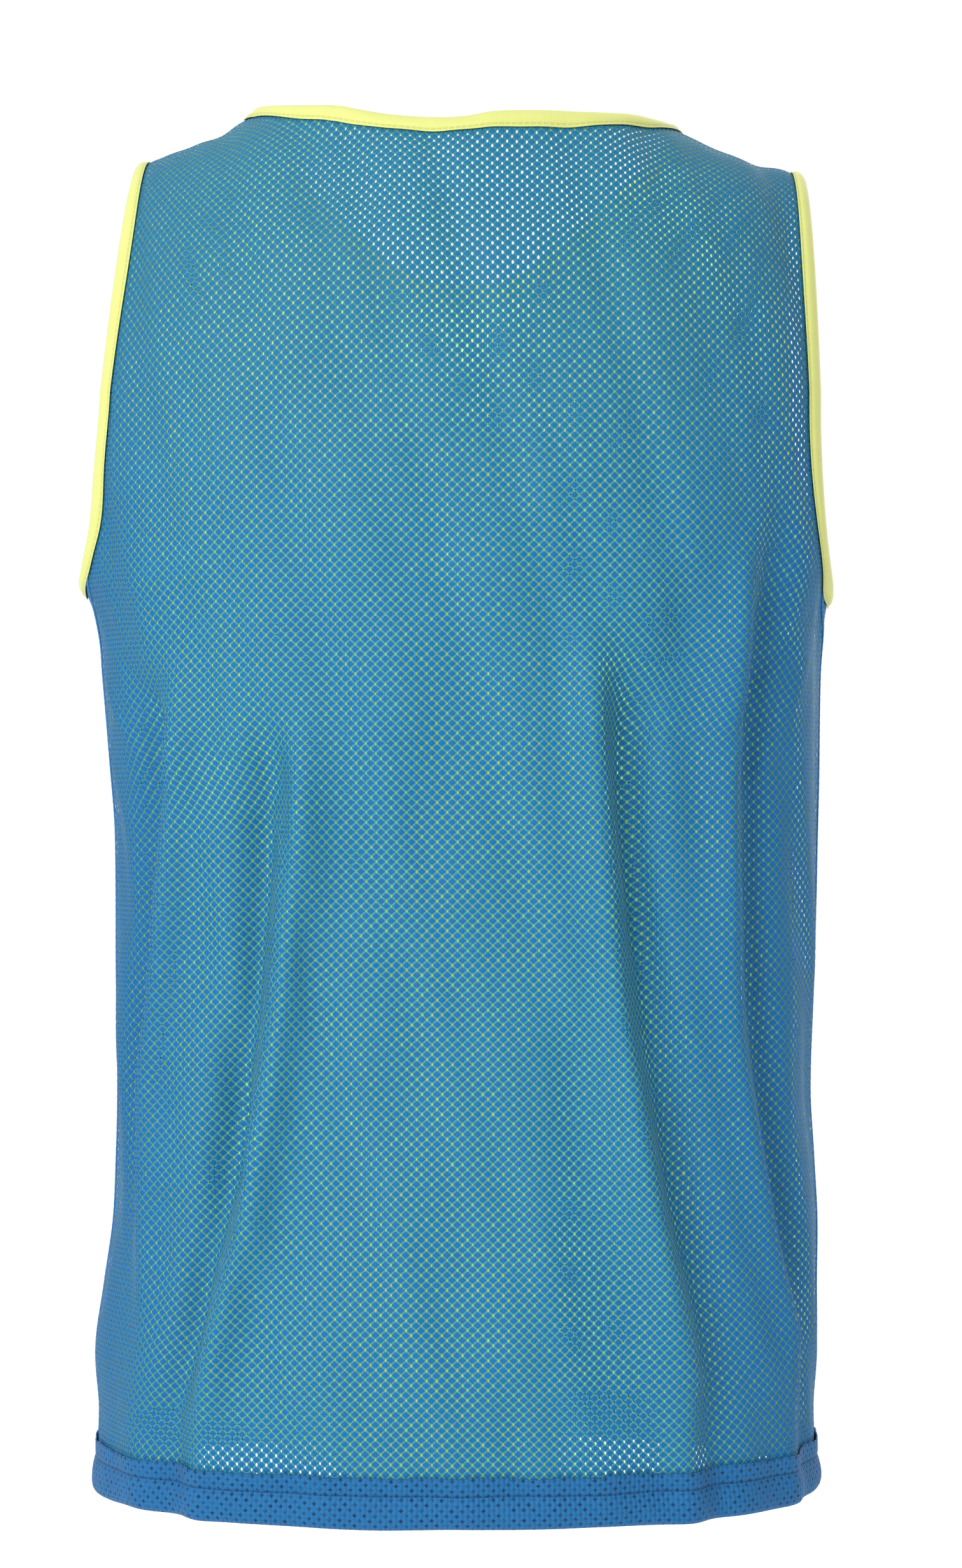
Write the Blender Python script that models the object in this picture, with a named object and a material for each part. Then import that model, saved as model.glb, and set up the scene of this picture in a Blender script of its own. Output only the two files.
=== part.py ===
# Reversible mesh training bib, worn and hollow, without its wearer.
# Metres, +Z up. The back of the bib faces -Y and its front faces +Y.
# The origin lies between the neck points, where the wearer's shoulders hold the bib.

import math
from collections import namedtuple

import bpy
from mathutils import Vector

MM = 0.001

# Cloth walls, counted inwards from the outer face of the blue net
WALL = 1.0                   # thickness of each layer
CLEAR = 0.3                  # gap between neighbouring pieces at a seam
LAYER_GAP = 0.9              # gap between the two layers
PAIR = 2 * WALL + LAYER_GAP  # blue net, gap and yellow net together

# Heights of the worn garment
HEM_Z = -712.0               # lowest fold of the hem band
CUT_Z = HEM_Z + 1.7          # cut edge of the nets inside the band
STITCH_Z = HEM_Z + 16.5      # hem stitch line
FLAP_Z = HEM_Z + 25.0        # free upper edge of the hem band
BLADE_Z = -150.0             # level of the shoulder blades, where the yoke starts to turn over

# Roundness of the level sections and of the turn over the shoulders
SECTION_POWER = 2.3
YOKE_POWER = 2.4
YOKE_SPAN = 100.0            # range of the height parameter that runs over the yoke

# Armhole: an oval seen from the side
ARMHOLE_DROP = 100.0         # from the blade level down to its lowest point
ARMHOLE_HALF = 56.0          # half its width from back to front
SEAM_BACK = 12.0             # how far behind the middle the side seam meets the armhole
SEAM_BACK_HEM = 4.0          # and how far behind it ends at the hem
TIP_LEFT = 171.0             # shoulder tips, from the middle
TIP_RIGHT = 180.0

# Neck
NECK_LEFT = 107.0            # neck points, from the middle
NECK_RIGHT = 108.0
NECK_BACK_DEPTH = 87.0       # how far the neckline runs back from the shoulder line
NECK_FRONT_DEPTH = 101.0     # and how far it runs forward
NECK_POWER = 2.3

# Hem band and bindings
HEM_LIFT = 0.6               # clearance of the band over the nets
HEM_FLARE = 0.7              # how much further its free edge stands off
BINDING_WIDTH = 7.4
BINDING_LIFT = 1.6           # clearance of its outer leg over the facets of the nets
BINDING_LIFT_IN = 1.9        # clearance of its inner leg
BINDING_LAP = 0.5            # clearance over the cut edge

# Level sections: half widths to the photographed left and right, depths to back and front
Section = namedtuple("Section", "z left right back front")
SECTIONS = [
    Section(-715, 193.0, 185.5, 121.0, 118.0),
    Section(-674, 191.0, 183.5, 122.0, 119.0),
    Section(-641, 192.3, 185.2, 122.0, 119.0),
    Section(-608, 188.3, 185.2, 121.0, 118.0),
    Section(-574, 183.5, 185.4, 118.0, 117.0),
    Section(-541, 182.0, 183.7, 114.0, 115.0),
    Section(-507, 181.2, 181.8, 110.0, 113.0),
    Section(-441, 182.0, 184.0, 106.0, 111.0),
    Section(-374, 182.4, 185.6, 108.0, 112.0),
    Section(-341, 184.8, 186.3, 110.0, 113.0),
    Section(-291, 189.0, 187.0, 114.0, 115.0),
    Section(-274, 190.3, 188.3, 115.0, 115.5),
    Section(-257, 194.5, 190.5, 116.0, 116.0),
    Section(-243, 199.5, 193.5, 117.0, 116.0),
    Section(-215, 200.7, 195.8, 118.0, 115.0),
    Section(-188, 202.0, 197.0, 118.5, 112.0),
    Section(-150, 200.6, 198.0, 118.0, 107.0),
]

# Shoulder line: height over its sideways place, the middle part being cut away by the neck
Crest = namedtuple("Crest", "x z")
CRESTS = [
    Crest(-200, -33.0),
    Crest(-171, -23.5),
    Crest(-137, -12.0),
    Crest(-107, 1.5),
    Crest(-60, 17.0),
    Crest(0, 25.0),
    Crest(60, 14.0),
    Crest(108, -4.0),
    Crest(132, -15.5),
    Crest(180, -29.0),
    Crest(210, -38.0),
]

# Hanging folds: the cloth steps in on the outer side of a line through three points
Fold = namedtuple("Fold", "side top_x top_z mid_x mid_z low_x low_z height width hem")
FOLDS = [
    Fold("back", -150, -268, -153, -380, -166, -500, 8.0, 9.5, 0.10),
    Fold("back", -88, -300, -97, -460, -138, -660, 10.5, 10.0, 0.30),
    Fold("back", 72, -255, 86, -460, 120, -640, 10.0, 10.0, 0.30),
    Fold("back", 156, -200, 141, -440, 171, -625, 8.5, 9.5, 0.20),
    Fold("front", -148, -262, -143, -420, -160, -600, 8.0, 9.5, 0.20),
    Fold("front", -70, -330, -84, -500, -104, -665, 8.5, 10.5, 0.30),
    Fold("front", 84, -300, 78, -470, 108, -650, 9.5, 10.0, 0.30),
    Fold("front", 150, -240, 152, -420, 142, -610, 8.0, 9.5, 0.20),
]
FOLD_RISE = 75.0             # length over which a fold grows to its full height
FOLD_STOPS = (-22.0, -8.5, 8.5, 22.0)
STOP_SHARES = (-0.40, -0.17, 0.17, 0.40)   # the most they take of the way to the next fold

# Rows of points up a panel
LOWER_ROWS = [CUT_Z, STITCH_Z, FLAP_Z, -636, -580, -524, -468, -412, -360, -318, -286, -264]
ARMHOLE_TURNS = (0, 22, 42, 62, 90)        # degrees round the lower half of the armhole
YOKE_SHARES = (0.20, 0.42, 0.62, 0.78, 0.90, 1.0)
MIDDLE_COLUMNS = 3           # columns between the two inner folds
NECK_SHARES = (0.0, 0.15, 0.33, 0.58)      # columns from a neck point to the next fold
EDGE_STRIPS = (10.0, 22.0)   # first columns inside an edge


def smoothstep(share):
    share = min(1.0, max(0.0, share))
    return share * share * (3 - 2 * share)


def read(table, key, column, at):
    """Smooth value of one column of a table at a place along its key column."""
    keys = [getattr(row, key) for row in table]
    values = [getattr(row, column) for row in table]
    at = min(keys[-1], max(keys[0], at))
    i = max(j for j in range(len(keys) - 1) if keys[j] <= at or j == 0)

    def slope(j):
        a, b = max(0, j - 1), min(len(keys) - 1, j + 1)
        return (values[b] - values[a]) / (keys[b] - keys[a])

    span = keys[i + 1] - keys[i]
    t = (at - keys[i]) / span
    start = values[i] * (1 + 2 * t) * (1 - t) ** 2 + slope(i) * span * t * (1 - t) ** 2
    end = values[i + 1] * t * t * (3 - 2 * t) + slope(i + 1) * span * t * t * (t - 1)
    return start + end


def depth(side, z, own_side=True):
    """How far the section at this height reaches to a side, or to the opposite one."""
    return read(SECTIONS, "z", side if own_side else ("front" if side == "back" else "back"), z)


def ring_point(side, angle, z):
    """Level section without folds: angle 0 is the middle of the side, left is negative."""
    power = 2 / SECTION_POWER
    half = read(SECTIONS, "z", "left" if angle < 0 else "right", z)
    x = math.copysign(half * abs(math.sin(angle)) ** power, angle)
    own = math.cos(angle) >= 0
    y = depth(side, z, own) * abs(math.cos(angle)) ** power
    towards = -1 if (side == "back") == own else 1
    return Vector((x, towards * y, z))


def angle_at_x(side, x, z):
    half = read(SECTIONS, "z", "left" if x < 0 else "right", z)
    return math.copysign(math.asin(min(1.0, abs(x) / half) ** (SECTION_POWER / 2)), x)


def angle_at_y(side, y, z):
    """Angle at which the section crosses a depth counted towards the panel's own side."""
    share = min(1.0, abs(y) / depth(side, z, y >= 0))
    angle = math.acos(share ** (SECTION_POWER / 2))
    return angle if y >= 0 else math.pi - angle


def fold_angle(fold, z):
    at = min(fold.top_z, max(fold.low_z, z))
    points = ((fold.low_z, fold.low_x), (fold.mid_z, fold.mid_x), (fold.top_z, fold.top_x))
    x = 0.0
    for i, (zi, xi) in enumerate(points):
        for j, (zj, _) in enumerate(points):
            if i != j:
                xi *= (at - zj) / (zi - zj)
        x += xi
    return angle_at_x(fold.side, x, z)


def fold_strength(fold, z):
    rise = smoothstep((fold.top_z - z) / FOLD_RISE)
    fade = smoothstep((z - HEM_Z) / (fold.low_z + FOLD_RISE - HEM_Z))
    return rise * (fold.hem + (1 - fold.hem) * fade)


def fold_depth(side, angle, z):
    """Sum of the folds at a point: out on the inner side of each line, in on its outer side."""
    total = 0.0
    here = ring_point(side, angle, z)
    for fold in FOLDS:
        strength = fold_strength(fold, z) if fold.side == side else 0.0
        if strength == 0.0:
            continue
        line = fold_angle(fold, z)
        away = (here - ring_point(side, line, z)).length / fold.width
        inside = (angle < line) if line > 0 else (angle > line)
        q = away if inside else -away
        total += fold.height * strength * math.sqrt(math.e) * q * math.exp(-q * q / 2)
    return total


def level_point(side, angle, z):
    point = ring_point(side, angle, z)
    push = fold_depth(side, angle, z)
    if push:
        step = 0.002
        along = ring_point(side, angle + step, z) - ring_point(side, angle - step, z)
        out = Vector((along.y, -along.x, 0)).normalized()
        point += out * push * (1 if side == "back" else -1)
    return point


def crest_x(x):
    """Where a column at the blade level ends up on the shoulder line."""
    angle = edge_angle("back", BLADE_Z)
    edge = ring_point("back", math.copysign(angle, x), BLADE_Z).x
    return x * (TIP_LEFT if x < 0 else TIP_RIGHT) / abs(edge)


def surface(side, angle, v):
    """Outer face of the blue net. v is the height, and above BLADE_Z it runs over the yoke."""
    base = level_point(side, angle, min(v, BLADE_Z))
    if v <= BLADE_Z:
        return base
    turn = min(1.0, (v - BLADE_Z) / YOKE_SPAN) * math.pi / 2
    rise = math.sin(turn) ** (2 / YOKE_POWER)
    reach = max(0.0, math.cos(turn)) ** (2 / YOKE_POWER)
    top_x = crest_x(base.x)
    seam_y = CLEAR / 2 * (-1 if side == "back" else 1)
    return Vector((base.x + (top_x - base.x) * rise,
                   seam_y + (base.y - seam_y) * reach,
                   BLADE_Z + (read(CRESTS, "x", "z", top_x) - BLADE_Z) * rise))


def tangents(side, angle, v):
    """Changes of the surface with angle and with v, and the unit normal facing out."""
    da, dv = 0.002, 0.05
    across = (surface(side, angle + da, v) - surface(side, angle - da, v)) / (2 * da)
    high = min(v + dv, BLADE_Z + YOKE_SPAN - 0.001)
    up = (surface(side, angle, high) - surface(side, angle, high - 2 * dv)) / (2 * dv)
    normal = across.cross(up).normalized()
    return across, up, normal if side == "back" else -normal


def walk(side, angle, v, direction, distance):
    """Place on the surface reached from one place by going a distance in a direction."""
    for _ in range(2):
        across, up, _ = tangents(side, angle, v)
        want = direction * distance / 2
        a, b, c = across.dot(across), across.dot(up), up.dot(up)
        p, q = across.dot(want), up.dot(want)
        det = a * c - b * b
        angle += (p * c - q * b) / det
        v = min(v + (q * a - p * b) / det, BLADE_Z + YOKE_SPAN)
    return angle, v


def edge_angle(side, z):
    """Edge of a panel: the side seam below the armhole, then the armhole oval."""
    low = BLADE_Z - ARMHOLE_DROP
    if z <= low + 0.01:
        back = SEAM_BACK_HEM + (SEAM_BACK - SEAM_BACK_HEM) * (z - HEM_Z) / (low - HEM_Z)
        angle = angle_at_y(side, back if side == "back" else -back, z)
        pace = (ring_point(side, angle + 0.01, z) - ring_point(side, angle - 0.01, z)).length
        return angle - CLEAR / 2 / (pace / 0.02)
    share = (BLADE_Z - z) / ARMHOLE_DROP
    back = SEAM_BACK * share * share
    half = ARMHOLE_HALF * math.sqrt(1 - share * share)
    return angle_at_y(side, half + back if side == "back" else half - back, z)


def column_angles(side, z):
    """Angles of the columns at a height: close beside each fold, and at the neck points."""
    lines = [fold_angle(fold, z) for fold in FOLDS if fold.side == side]
    edge = edge_angle(side, z)
    around = [-edge, *lines, edge]
    stops = []
    for i, line in enumerate(lines):
        pace = (ring_point(side, line + 0.01, z) - ring_point(side, line - 0.01, z)).length / 0.02
        stops.append([])
        for stop, most in zip(FOLD_STOPS, STOP_SHARES):
            gap = around[i + 2] - line if stop > 0 else line - around[i]
            stops[i].append(line + math.copysign(min(abs(stop) / pace, abs(most) * gap), stop))
    middle = [stops[1][-1] + (stops[2][0] - stops[1][-1]) * (k + 1) / (MIDDLE_COLUMNS + 1)
              for k in range(MIDDLE_COLUMNS)]
    pace = (ring_point(side, edge + 0.01, z) - ring_point(side, edge - 0.01, z)).length / 0.02
    strips = [edge - strip / pace for strip in EDGE_STRIPS]
    left, right = neck_columns()
    return ([-edge] + [-strip for strip in strips] + stops[0] + neck_angles(side, z, left, stops[0][-1], stops[1][0])
            + stops[1] + middle + stops[2]
            + neck_angles(side, z, right, stops[2][-1], stops[3][0]) + stops[3]
            + strips[::-1] + [edge])


def neck_angles(side, z, x, low, high):
    """Columns from a neck point inwards, spread evenly lower down where the folds crowd them."""
    point = angle_at_x(side, x, z)
    inner = high if x < 0 else low
    wanted = sorted(point + (inner - point) * share for share in NECK_SHARES)
    count = len(wanted) + 1
    even = [low + (high - low) * (k + 1) / count for k in range(len(wanted))]
    share = smoothstep((z - BLADE_Z + 160) / 100)
    return [e + (w - e) * share for w, e in zip(wanted, even)]


def neck_columns():
    """Places at the blade level of the columns that end on the neck points."""
    left = ring_point("back", -edge_angle("back", BLADE_Z), BLADE_Z).x
    right = ring_point("back", edge_angle("back", BLADE_Z), BLADE_Z).x
    return left * NECK_LEFT / TIP_LEFT, right * NECK_RIGHT / TIP_RIGHT


def top_share(side, angle):
    """How far up the yoke a column runs: to the shoulder seam, or only to the neckline."""
    base = level_point(side, angle, BLADE_Z)
    x = crest_x(base.x)
    half = NECK_LEFT if x < 0 else NECK_RIGHT
    if abs(x) > half - 0.01:
        return 1.0
    reach = NECK_BACK_DEPTH if side == "back" else NECK_FRONT_DEPTH
    y = reach * (1 - (abs(x) / half) ** NECK_POWER) ** (1 / NECK_POWER)
    share = (y - CLEAR / 2) / (abs(base.y) - CLEAR / 2)
    share = min(1.0, max(0.0, share))
    return math.acos(share ** (YOKE_POWER / 2)) * 2 / math.pi


def panel_grid(side):
    """Rows of (angle, v) places over a panel, from the hem to the shoulders and neckline."""
    turns = [math.radians(turn) for turn in ARMHOLE_TURNS]
    heights = LOWER_ROWS + [BLADE_Z - ARMHOLE_DROP * math.cos(turn) for turn in turns]
    grid = [[(angle, z) for angle in column_angles(side, z)] for z in heights]
    blade = grid[-1]
    for share in YOKE_SHARES:
        grid.append([(angle, BLADE_Z + YOKE_SPAN * share * top_share(side, angle))
                     for angle, _ in blade])
    return grid


def lifted(side, place, lift):
    """Point of a place on the surface, moved out by a distance."""
    return surface(side, *place) + tangents(side, *place)[2] * lift


def make_material(name, colour, roughness):
    material = bpy.data.materials.new(name)
    material.use_nodes = True
    shader = material.node_tree.nodes["Principled BSDF"]
    shader.inputs["Base Color"].default_value = (*colour, 1)
    shader.inputs["Roughness"].default_value = roughness
    shader.inputs["Metallic"].default_value = 0.0
    material.diffuse_color = (*colour, 1)
    return material


def make_object(name, points, faces, material, collection):
    mesh = bpy.data.meshes.new(name)
    mesh.from_pydata([point * MM for point in points], [], faces)
    mesh.validate()
    mesh.shade_smooth()
    mesh.set_sharp_from_angle(angle=math.radians(40))
    mesh.materials.append(material)
    obj = bpy.data.objects.new(name, mesh)
    collection.objects.link(obj)
    return obj


def make_layer(name, side, grid, lift, material, collection):
    """One layer of cloth: the grid at two lifts, closed round its edges."""
    high, wide = len(grid), len(grid[0])
    points = [lifted(side, place, lift) for row in grid for place in row]
    points += [lifted(side, place, lift - WALL) for row in grid for place in row]
    shift = high * wide
    faces = []

    def face(a, b, c, d):
        for corners in ((a, b, c), (a, c, d)):
            faces.append(corners if side == "back" else corners[::-1])

    for r in range(high - 1):
        for c in range(wide - 1):
            a, b = r * wide + c, (r + 1) * wide + c
            face(a, a + 1, b + 1, b)
            face(shift + a, shift + b, shift + b + 1, shift + a + 1)
    for c in range(wide - 1):
        top = (high - 1) * wide + c
        face(c, shift + c, shift + c + 1, c + 1)
        face(top, top + 1, shift + top + 1, shift + top)
    for r in range(high - 1):
        a, b = r * wide, (r + 1) * wide
        face(a, b, shift + b, shift + a)
        a, b = a + wide - 1, b + wide - 1
        face(a, shift + a, shift + b, b)
    return make_object(name, points, faces, material, collection)


def loft(name, rings, closed, inside_out, material, collection):
    """Solid through a row of equal profiles, joined end to end or capped."""
    count, size = len(rings), len(rings[0])
    points = [point for ring in rings for point in ring]
    faces = []
    for i in range(count if closed else count - 1):
        a, b = i * size, (i + 1) % count * size
        for k in range(size):
            n = (k + 1) % size
            faces.append((a + k, a + n, b + n, b + k))
    if not closed:
        last = (count - 1) * size
        faces.append(tuple(range(size))[::-1])
        faces.append(tuple(last + k for k in range(size)))
    if inside_out:
        faces = [face[::-1] for face in faces]
    return make_object(name, points, faces, material, collection)


def binding_rings(stations):
    """Folded tape round a closed edge: (side, angle, v) stations, in order round the hole."""
    edge = [surface(side, angle, v) for side, angle, v in stations]
    centre = sum(edge, Vector()) / len(edge)
    rings = []
    for i, (side, angle, v) in enumerate(stations):
        along = (edge[(i + 1) % len(edge)] - edge[i - 1]).normalized()
        normal = tangents(side, angle, v)[2]
        inward = along.cross(normal).normalized()
        if inward.dot(edge[i] - centre) < 0:
            inward = -inward
        far = walk(side, angle, v, inward, BINDING_WIDTH)
        out, under = BINDING_LIFT, -PAIR - BINDING_LIFT_IN
        tip = (out + under) / 2
        rings.append([
            lifted(side, far, out),
            lifted(side, far, out + WALL),
            edge[i] - inward * 0.5 * WALL + normal * (out + WALL),
            edge[i] - inward * (BINDING_LAP + WALL) + normal * (out + tip) / 2,
            edge[i] - inward * (BINDING_LAP + WALL) + normal * (under + tip) / 2,
            edge[i] - inward * 0.5 * WALL + normal * (under - WALL),
            lifted(side, far, under - WALL),
            lifted(side, far, under),
            edge[i] - inward * BINDING_LAP + normal * under,
            edge[i] - inward * BINDING_LAP + normal * out,
        ])
    return rings


def neck_stations(grids):
    """Neckline places: across the back from left to right, then across the front back again."""
    stations = []
    for side in ("back", "front"):
        top = grids[side][-1]
        shares = [top_share(side, angle) for angle, _ in top]
        first = max(i for i in range(len(top) // 2) if shares[i] == 1.0)
        last = min(i for i in range(len(top) // 2, len(top)) if shares[i] == 1.0)
        places = top[first:last + 1]
        if side == "front":
            places = places[1:-1][::-1]
        stations += [(side, *place) for place in places]
    return stations


def armhole_stations(grids, sign):
    """Armhole places: up the back from the side seam, over the shoulder, down the front."""
    column = 0 if sign < 0 else -1
    low = len(LOWER_ROWS)
    up = [("back", *row[column]) for row in grids["back"][low:]]
    down = [("front", *row[column]) for row in grids["front"][low + 1:]]
    return up + down[::-1][1:]


def hem_rings(side, grid):
    """Band folded round the cut edges of both nets, pinched where it is stitched."""
    cut, stitch, flap = grid[0], grid[1], grid[2]
    out, under = HEM_LIFT, -PAIR - HEM_LIFT
    rings = []
    for c in range(len(cut)):
        normal = tangents(side, *cut[c])[2]
        normal = Vector((normal.x, normal.y, 0)).normalized()
        low = surface(side, *cut[c]) - Vector((0, 0, CLEAR))
        bulge = (lifted(side, cut[c], 0) + lifted(side, stitch[c], 0)) / 2
        rings.append([
            lifted(side, flap[c], out + HEM_FLARE),
            lifted(side, flap[c], out + HEM_FLARE + WALL),
            lifted(side, stitch[c], out + WALL),
            bulge + normal * (out + 1.6 * WALL),
            low + normal * (out + WALL),
            low + normal * (out + under) / 2 - Vector((0, 0, WALL)),
            low + normal * (under - WALL),
            bulge + normal * (under - 1.2 * WALL),
            lifted(side, stitch[c], under - WALL),
            lifted(side, stitch[c], under),
            low + normal * under,
            low + normal * out,
            lifted(side, stitch[c], out),
        ])
    return rings


def build():
    for obj in list(bpy.data.objects):
        bpy.data.objects.remove(obj)
    parts = bpy.data.collections.new("mesh_training_bib")
    bpy.context.scene.collection.children.link(parts)

    blue = make_material("blue_net", (0.042, 0.238, 0.515), 0.72)
    yellow = make_material("yellow_net", (0.74, 0.84, 0.16), 0.72)
    tape = make_material("lemon_tape", (0.81, 0.83, 0.23), 0.66)
    band = make_material("blue_band", (0.033, 0.216, 0.515), 0.74)

    grids = {side: panel_grid(side) for side in ("back", "front")}
    for side, grid in grids.items():
        make_layer(side + "_panel", side, grid, 0.0, blue, parts)
        make_layer(side + "_lining", side, grid, -WALL - LAYER_GAP, yellow, parts)
        loft("hem_band_" + side, hem_rings(side, grid), False, side == "front", band, parts)

    loft("neck_binding", binding_rings(neck_stations(grids)), True, True, tape, parts)
    for name, sign in (("left", -1), ("right", 1)):
        rings = binding_rings(armhole_stations(grids, sign))
        loft("armhole_binding_" + name, rings, True, sign < 0, tape, parts)


build()
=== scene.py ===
import bpy
import numpy as np
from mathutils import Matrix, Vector


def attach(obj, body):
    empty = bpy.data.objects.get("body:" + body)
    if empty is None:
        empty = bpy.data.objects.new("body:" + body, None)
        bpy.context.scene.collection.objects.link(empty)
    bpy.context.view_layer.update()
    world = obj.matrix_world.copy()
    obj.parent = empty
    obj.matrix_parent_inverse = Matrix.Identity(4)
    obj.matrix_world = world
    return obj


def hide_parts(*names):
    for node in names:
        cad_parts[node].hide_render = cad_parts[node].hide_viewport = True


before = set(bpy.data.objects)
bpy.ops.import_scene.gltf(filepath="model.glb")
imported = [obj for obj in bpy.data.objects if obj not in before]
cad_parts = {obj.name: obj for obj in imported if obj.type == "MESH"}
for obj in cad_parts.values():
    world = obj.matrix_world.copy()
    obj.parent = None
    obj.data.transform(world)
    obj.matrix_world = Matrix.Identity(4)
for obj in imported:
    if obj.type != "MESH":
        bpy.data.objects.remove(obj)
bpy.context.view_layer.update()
random = np.random.default_rng(21)


def hexToLinear(code):
    channels = [int(code[i:i + 2], 16) / 255 for i in (1, 3, 5)]
    return tuple(c / 12.92 if c <= 0.04045 else ((c + 0.055) / 1.055) ** 2.4 for c in channels) + (1.0,)


def addNode(tree, kind, inputs=None, **settings):  # an input is a value, a socket or a node to link
    node = tree.nodes.new(kind)
    for key, value in settings.items():
        setattr(node, key, value)
    for key, value in (inputs or {}).items():
        if isinstance(value, bpy.types.Node):
            value = value.outputs[2 if value.bl_idname == "ShaderNodeMix" else 0]
        if isinstance(value, bpy.types.NodeSocket):
            tree.links.new(value, node.inputs[key])
        else:
            node.inputs[key].default_value = value
    return node



# Shape of the worn cloth: all lengths are millimetres, the same body as in the CAD part

body = {
    # z, half width left, half width right, depth to the back, depth to the front
    "sections": np.array([
        (-715, 193.0, 185.5, 121.0, 118.0), (-674, 191.0, 183.5, 122.0, 119.0),
        (-641, 192.3, 185.2, 122.0, 119.0), (-608, 188.3, 185.2, 121.0, 118.0),
        (-574, 183.5, 185.4, 118.0, 117.0), (-541, 182.0, 183.7, 114.0, 115.0),
        (-507, 181.2, 181.8, 110.0, 113.0), (-441, 182.0, 184.0, 106.0, 111.0),
        (-374, 182.4, 185.6, 108.0, 112.0), (-341, 184.8, 186.3, 110.0, 113.0),
        (-291, 189.0, 187.0, 114.0, 115.0), (-274, 190.3, 188.3, 115.0, 115.5),
        (-257, 194.5, 190.5, 116.0, 116.0), (-243, 199.5, 193.5, 117.0, 116.0),
        (-215, 200.7, 195.8, 118.0, 115.0), (-188, 202.0, 197.0, 118.5, 112.0),
        (-150, 200.6, 198.0, 118.0, 107.0)]),
    "roundness": 2.3,
    # shoulder line: sideways place, height
    "crests": np.array([
        (-200, -36.5), (-171, -27.0), (-137, -15.2), (-107, -1.4), (-60, 16.0), (0, 25.0),
        (60, 13.0), (108, -7.8), (132, -18.5), (180, -32.5), (210, -41.5)]),
    "yokeRoundness": 2.4,
    "hemZ": -712.0, "cutZ": -710.3, "bladeZ": -150.0,
    "seamGap": 0.15,  # from the shoulder seam's middle to each panel
    "narrower": 0.994,  # the nets lie inside the CAD's outer face
    "armholeDrop": (92.0, 97.0), "armholeHalf": 56.0, "seamBack": 12.0, "seamBackHem": 4.0,
    "tips": (168.5, 176.0), "neckHalf": (107.0, 107.0),
    "neckDepth": {"back": 87.0, "front": 101.0}, "neckRoundness": 2.3,
    # how far the bound neckline stands up from the yoke: sideways place, height
    "stand": {
        "back": np.array([(-108, 2.2), (-94, 2.6), (-78, 3.6), (-62, 4.6), (-52, 3.6), (-36, 1.4),
                          (-12, -0.4), (2, 0.4), (16, 3.4), (40, 4.8), (66, 3.4), (86, 2.4), (98, 0.4),
                          (108, -1.6)]),
        "front": np.array([(-108, 2.2), (-60, 2.0), (0, 1.2), (60, 1.0), (108, -1.6)])},
    "standReach": 14.0,
}

# hanging folds: a line through three points (x, z), then height, width and share kept at the hem
folds = {
    "back": [((-150, -268), (-153, -380), (-166, -500), 8.0, 9.5, 0.10),
             ((-88, -300), (-97, -460), (-138, -660), 10.5, 10.0, 0.30),
             ((72, -255), (86, -460), (120, -640), 10.0, 10.0, 0.30),
             ((156, -200), (141, -440), (171, -625), 8.5, 9.5, 0.20)],
    "front": [((-148, -262), (-143, -420), (-160, -600), 8.0, 9.5, 0.20),
              ((-70, -330), (-84, -500), (-104, -665), 8.5, 10.5, 0.30),
              ((84, -300), (78, -470), (108, -650), 9.5, 10.0, 0.30),
              ((150, -240), (152, -420), (142, -610), 8.0, 9.5, 0.20)],
    "rise": 75.0,
}

# smaller creases in cloth millimetres: start (p, q), end (p, q), height, width; minus is a trough
creases = {
    "back": [((-60, -190), (-38, -420), 2.4, 20), ((-38, -420), (-30, -650), 2.2, 18),
             ((20, -240), (34, -640), 2.2, 22), ((-8, -300), (2, -670), -2.0, 16),
             ((118, -250), (100, -420), -2.4, 12), ((64, -430), (76, -660), -1.8, 13),
             ((-118, -330), (-108, -520), 2.0, 14), ((-176, -560), (-170, -680), -1.6, 9),
             ((-95, -52), (80, -60), -2.2, 11), ((-110, -78), (92, -84), 1.2, 10),
             ((205, -262), (150, -330), -1.7, 6), ((208, -286), (168, -368), 1.5, 6),
             ((-208, -262), (-160, -318), -1.6, 6), ((-212, -296), (-186, -352), 1.3, 6),
             ((-200, -428), (-166, -436), -1.1, 5), ((-70, -640), (-64, -694), 1.4, 8),
             ((128, -630), (136, -694), -1.4, 9), ((30, -640), (26, -694), -1.2, 9)],
    "front": [((-50, -230), (-34, -460), 2.3, 19), ((-34, -460), (-26, -660), 2.0, 18),
              ((24, -220), (36, -640), -2.2, 20), ((0, -320), (6, -670), 1.8, 16),
              ((112, -260), (104, -440), -2.2, 13), ((-112, -340), (-118, -540), 2.0, 14),
              ((-80, -96), (84, -102), -1.8, 11), ((204, -264), (156, -322), -1.5, 6),
              ((-206, -262), (-162, -330), -1.5, 6), ((60, -600), (66, -694), 1.5, 9),
              ((-62, -620), (-70, -694), -1.5, 9), ((150, -560), (158, -690), 1.3, 10)],
    # long low ripples: wave length across and up, phase, height
    "ripples": [(61, 240, 0.4, 0.7), (37, 170, 2.1, 0.45), (23, 95, 4.0, 0.22), (88, -130, 1.3, 0.5)],
    "seamFade": 16, "topFade": 14, "hemFade": 30,
}
middleColumn, lastColumn = 200, 400  # a panel's grid has 401 columns from side to side


def smoothstep(share):
    share = np.clip(share, 0, 1)
    return share * share * (3 - 2 * share)


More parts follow.
